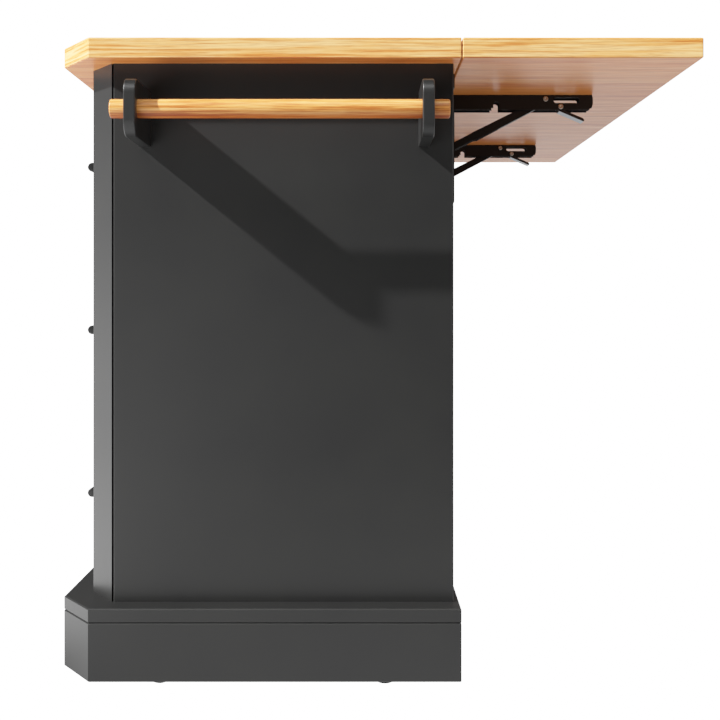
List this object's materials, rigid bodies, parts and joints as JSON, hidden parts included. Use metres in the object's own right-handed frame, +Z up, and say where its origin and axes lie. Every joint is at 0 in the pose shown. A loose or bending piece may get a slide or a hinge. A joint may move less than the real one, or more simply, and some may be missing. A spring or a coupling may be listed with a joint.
{
  "type": "drop leaf kitchen island",
  "caption": "Kitchen island with a honey wood top and a drop leaf on folding brackets, a charcoal cabinet with drawers and doors, an end towel rail and hidden casters.",
  "frame": {"origin": "on the floor under the middle of the outer box, leaf raised", "axes": "+Z up, -Y the side with drawers and doors, +Y the side with the leaf, +X the end with the towel rail"},
  "size_m": [1.4076, 0.9, 0.914],
  "materials": {
    "honey_wood": "oiled, satin, fine straight grain",
    "charcoal_paint": "charcoal satin paint on board",
    "pale_board": "clear lacquered birch board, satin",
    "black_steel": "black satin powder coat",
    "nickel_rivets": "nickel plated, semi-bright",
    "zinc_steel": "bright zinc plated",
    "black_pulls": "black satin coat",
    "wheel_black": "matt moulded black",
    "catch_plastic": "matt moulded, dark"
  },
  "bodies": {
    "cabinet": {"tabletop": "honey_wood", "side_panel_right": "charcoal_paint", "side_panel_left": "charcoal_paint", "corner_post_right": "charcoal_paint", "corner_post_left": "charcoal_paint", "centre_stile": "charcoal_paint", "back_panel": "charcoal_paint", "bottom_board": "pale_board", "top_stretchers": "pale_board", "partitions": "pale_board", "cupboard_shelf": "pale_board", "shelf_pins": "zinc_steel", "rear_battens": "charcoal_paint", "base_moulding": "charcoal_paint", "plinth_boards": "charcoal_paint", "caster_boards": "pale_board", "towel_brackets": "charcoal_paint", "towel_rod": "honey_wood", "frame_screws": "zinc_steel", "cabinet_runners": "zinc_steel", "hinge_frame_halves": "zinc_steel", "magnet_catches": "catch_plastic", "bracket_wall_arms": "black_steel", "bracket_wall_screws": "zinc_steel", "bracket_pins": "nickel_rivets", "caster_plates": "zinc_steel"},
    "leaf": {"drop_leaf": "honey_wood", "bracket_shelf_arms": "black_steel", "bracket_leaf_screws": "zinc_steel", "bracket_rivets": "nickel_rivets"},
    "struts": {"bracket_struts": "black_steel"},
    "lower_links": {"bracket_lower_links": "black_steel"},
    "lever_right": {"release_lever_right": "zinc_steel"},
    "lever_left": {"release_lever_left": "zinc_steel"},
    "drawer_bottom": {"drawer_front_bottom": "charcoal_paint", "drawer_box_bottom": "pale_board", "drawer_runners_bottom": "zinc_steel", "drawer_pull_bottom": "black_pulls"},
    "drawer_middle": {"drawer_front_middle": "charcoal_paint", "drawer_box_middle": "pale_board", "drawer_runners_middle": "zinc_steel", "drawer_pull_middle": "black_pulls"},
    "drawer_top": {"drawer_front_top": "charcoal_paint", "drawer_box_top": "pale_board", "drawer_runners_top": "zinc_steel", "drawer_pull_top": "black_pulls"},
    "door_left": {"door_left": "charcoal_paint", "door_pull_left": "black_pulls", "door_fittings_left": "zinc_steel"},
    "door_right": {"door_right": "charcoal_paint", "door_pull_right": "black_pulls", "door_fittings_right": "zinc_steel"},
    "caster_front_right": {"caster_fork_front_right": "zinc_steel"},
    "wheel_front_right": {"caster_wheel_front_right": "wheel_black"},
    "caster_rear_right": {"caster_fork_rear_right": "zinc_steel"},
    "wheel_rear_right": {"caster_wheel_rear_right": "wheel_black"},
    "caster_front_left": {"caster_fork_front_left": "zinc_steel"},
    "wheel_front_left": {"caster_wheel_front_left": "wheel_black"},
    "caster_rear_left": {"caster_fork_rear_left": "zinc_steel"},
    "wheel_rear_left": {"caster_wheel_rear_left": "wheel_black"}
  },
  "joints": [
    {"name": "leaf_hinge", "type": "hinge", "parent": "cabinet", "child": "leaf", "pos_m": [-0.04375, 0.1235, 0.8695], "axis": [-1, 0, 0], "range_deg": [0, 86]},
    {"name": "strut_pivot", "type": "hinge", "parent": "leaf", "child": "struts", "pos_m": [-0.04375, 0.278, 0.879], "axis": [-1, 0, 0], "range_deg": [0, 26.24]},
    {"name": "lower_link_pivot", "type": "hinge", "parent": "cabinet", "child": "lower_links", "pos_m": [-0.04375, 0.12, 0.797], "axis": [1, 0, 0], "range_deg": [0, 48.47]},
    {"name": "release_lever_right", "type": "hinge", "parent": "leaf", "child": "lever_right", "pos_m": [0.28725, 0.3026, 0.8665], "axis": [1, 0, 0], "range_deg": [0, 12], "stiffness_Nm_per_rad": 0.6, "springref_deg": -20.05},
    {"name": "release_lever_left", "type": "hinge", "parent": "leaf", "child": "lever_left", "pos_m": [-0.37475, 0.3026, 0.8665], "axis": [1, 0, 0], "range_deg": [0, 12], "stiffness_Nm_per_rad": 0.6, "springref_deg": -20.05},
    {"name": "drawer_bottom_slide", "type": "slide", "parent": "cabinet", "child": "drawer_bottom", "axis": [0, -1, 0], "range_m": [0, 0.33]},
    {"name": "drawer_middle_slide", "type": "slide", "parent": "cabinet", "child": "drawer_middle", "axis": [0, -1, 0], "range_m": [0, 0.33]},
    {"name": "drawer_top_slide", "type": "slide", "parent": "cabinet", "child": "drawer_top", "axis": [0, -1, 0], "range_m": [0, 0.33]},
    {"name": "door_left_hinge", "type": "hinge", "parent": "cabinet", "child": "door_left", "pos_m": [-0.58125, -0.4155, 0.50575], "axis": [0, 0, -1], "range_deg": [0, 110]},
    {"name": "door_right_hinge", "type": "hinge", "parent": "cabinet", "child": "door_right", "pos_m": [0.11342, -0.4155, 0.50575], "axis": [0, 0, 1], "range_deg": [0, 90]},
    {"name": "caster_front_right_swivel", "type": "hinge", "parent": "cabinet", "child": "caster_front_right", "pos_m": [0.52825, -0.3344, 0.066], "axis": [0, 0, 1], "continuous": true},
    {"name": "wheel_front_right_roll", "type": "hinge", "parent": "caster_front_right", "child": "wheel_front_right", "pos_m": [0.53017, -0.31248, 0.025], "axis": [-0.9962, 0.0872, 0], "continuous": true},
    {"name": "caster_rear_right_swivel", "type": "hinge", "parent": "cabinet", "child": "caster_rear_right", "pos_m": [0.52825, -0.0097, 0.066], "axis": [0, 0, 1], "continuous": true},
    {"name": "wheel_rear_right_roll", "type": "hinge", "parent": "caster_rear_right", "child": "wheel_rear_right", "pos_m": [0.53207, 0.01197, 0.025], "axis": [-0.9848, 0.1736, 0], "continuous": true},
    {"name": "caster_front_left_swivel", "type": "hinge", "parent": "cabinet", "child": "caster_front_left", "pos_m": [-0.61575, -0.3344, 0.066], "axis": [0, 0, 1], "continuous": true},
    {"name": "wheel_front_left_roll", "type": "hinge", "parent": "caster_front_left", "child": "wheel_front_left", "pos_m": [-0.60475, -0.31535, 0.025], "axis": [-0.866, 0.5, 0], "continuous": true},
    {"name": "caster_rear_left_swivel", "type": "hinge", "parent": "cabinet", "child": "caster_rear_left", "pos_m": [-0.61575, -0.0097, 0.066], "axis": [0, 0, 1], "continuous": true},
    {"name": "wheel_rear_left_roll", "type": "hinge", "parent": "caster_rear_left", "child": "wheel_rear_left", "pos_m": [-0.62505, 0.01024, 0.025], "axis": [-0.9063, -0.4226, 0], "continuous": true}
  ],
  "couplings": [
    {"joint": "strut_pivot", "follows": "leaf_hinge", "ratio": 0.30458},
    {"joint": "lower_link_pivot", "follows": "leaf_hinge", "ratio": 0.56297}
  ]
}
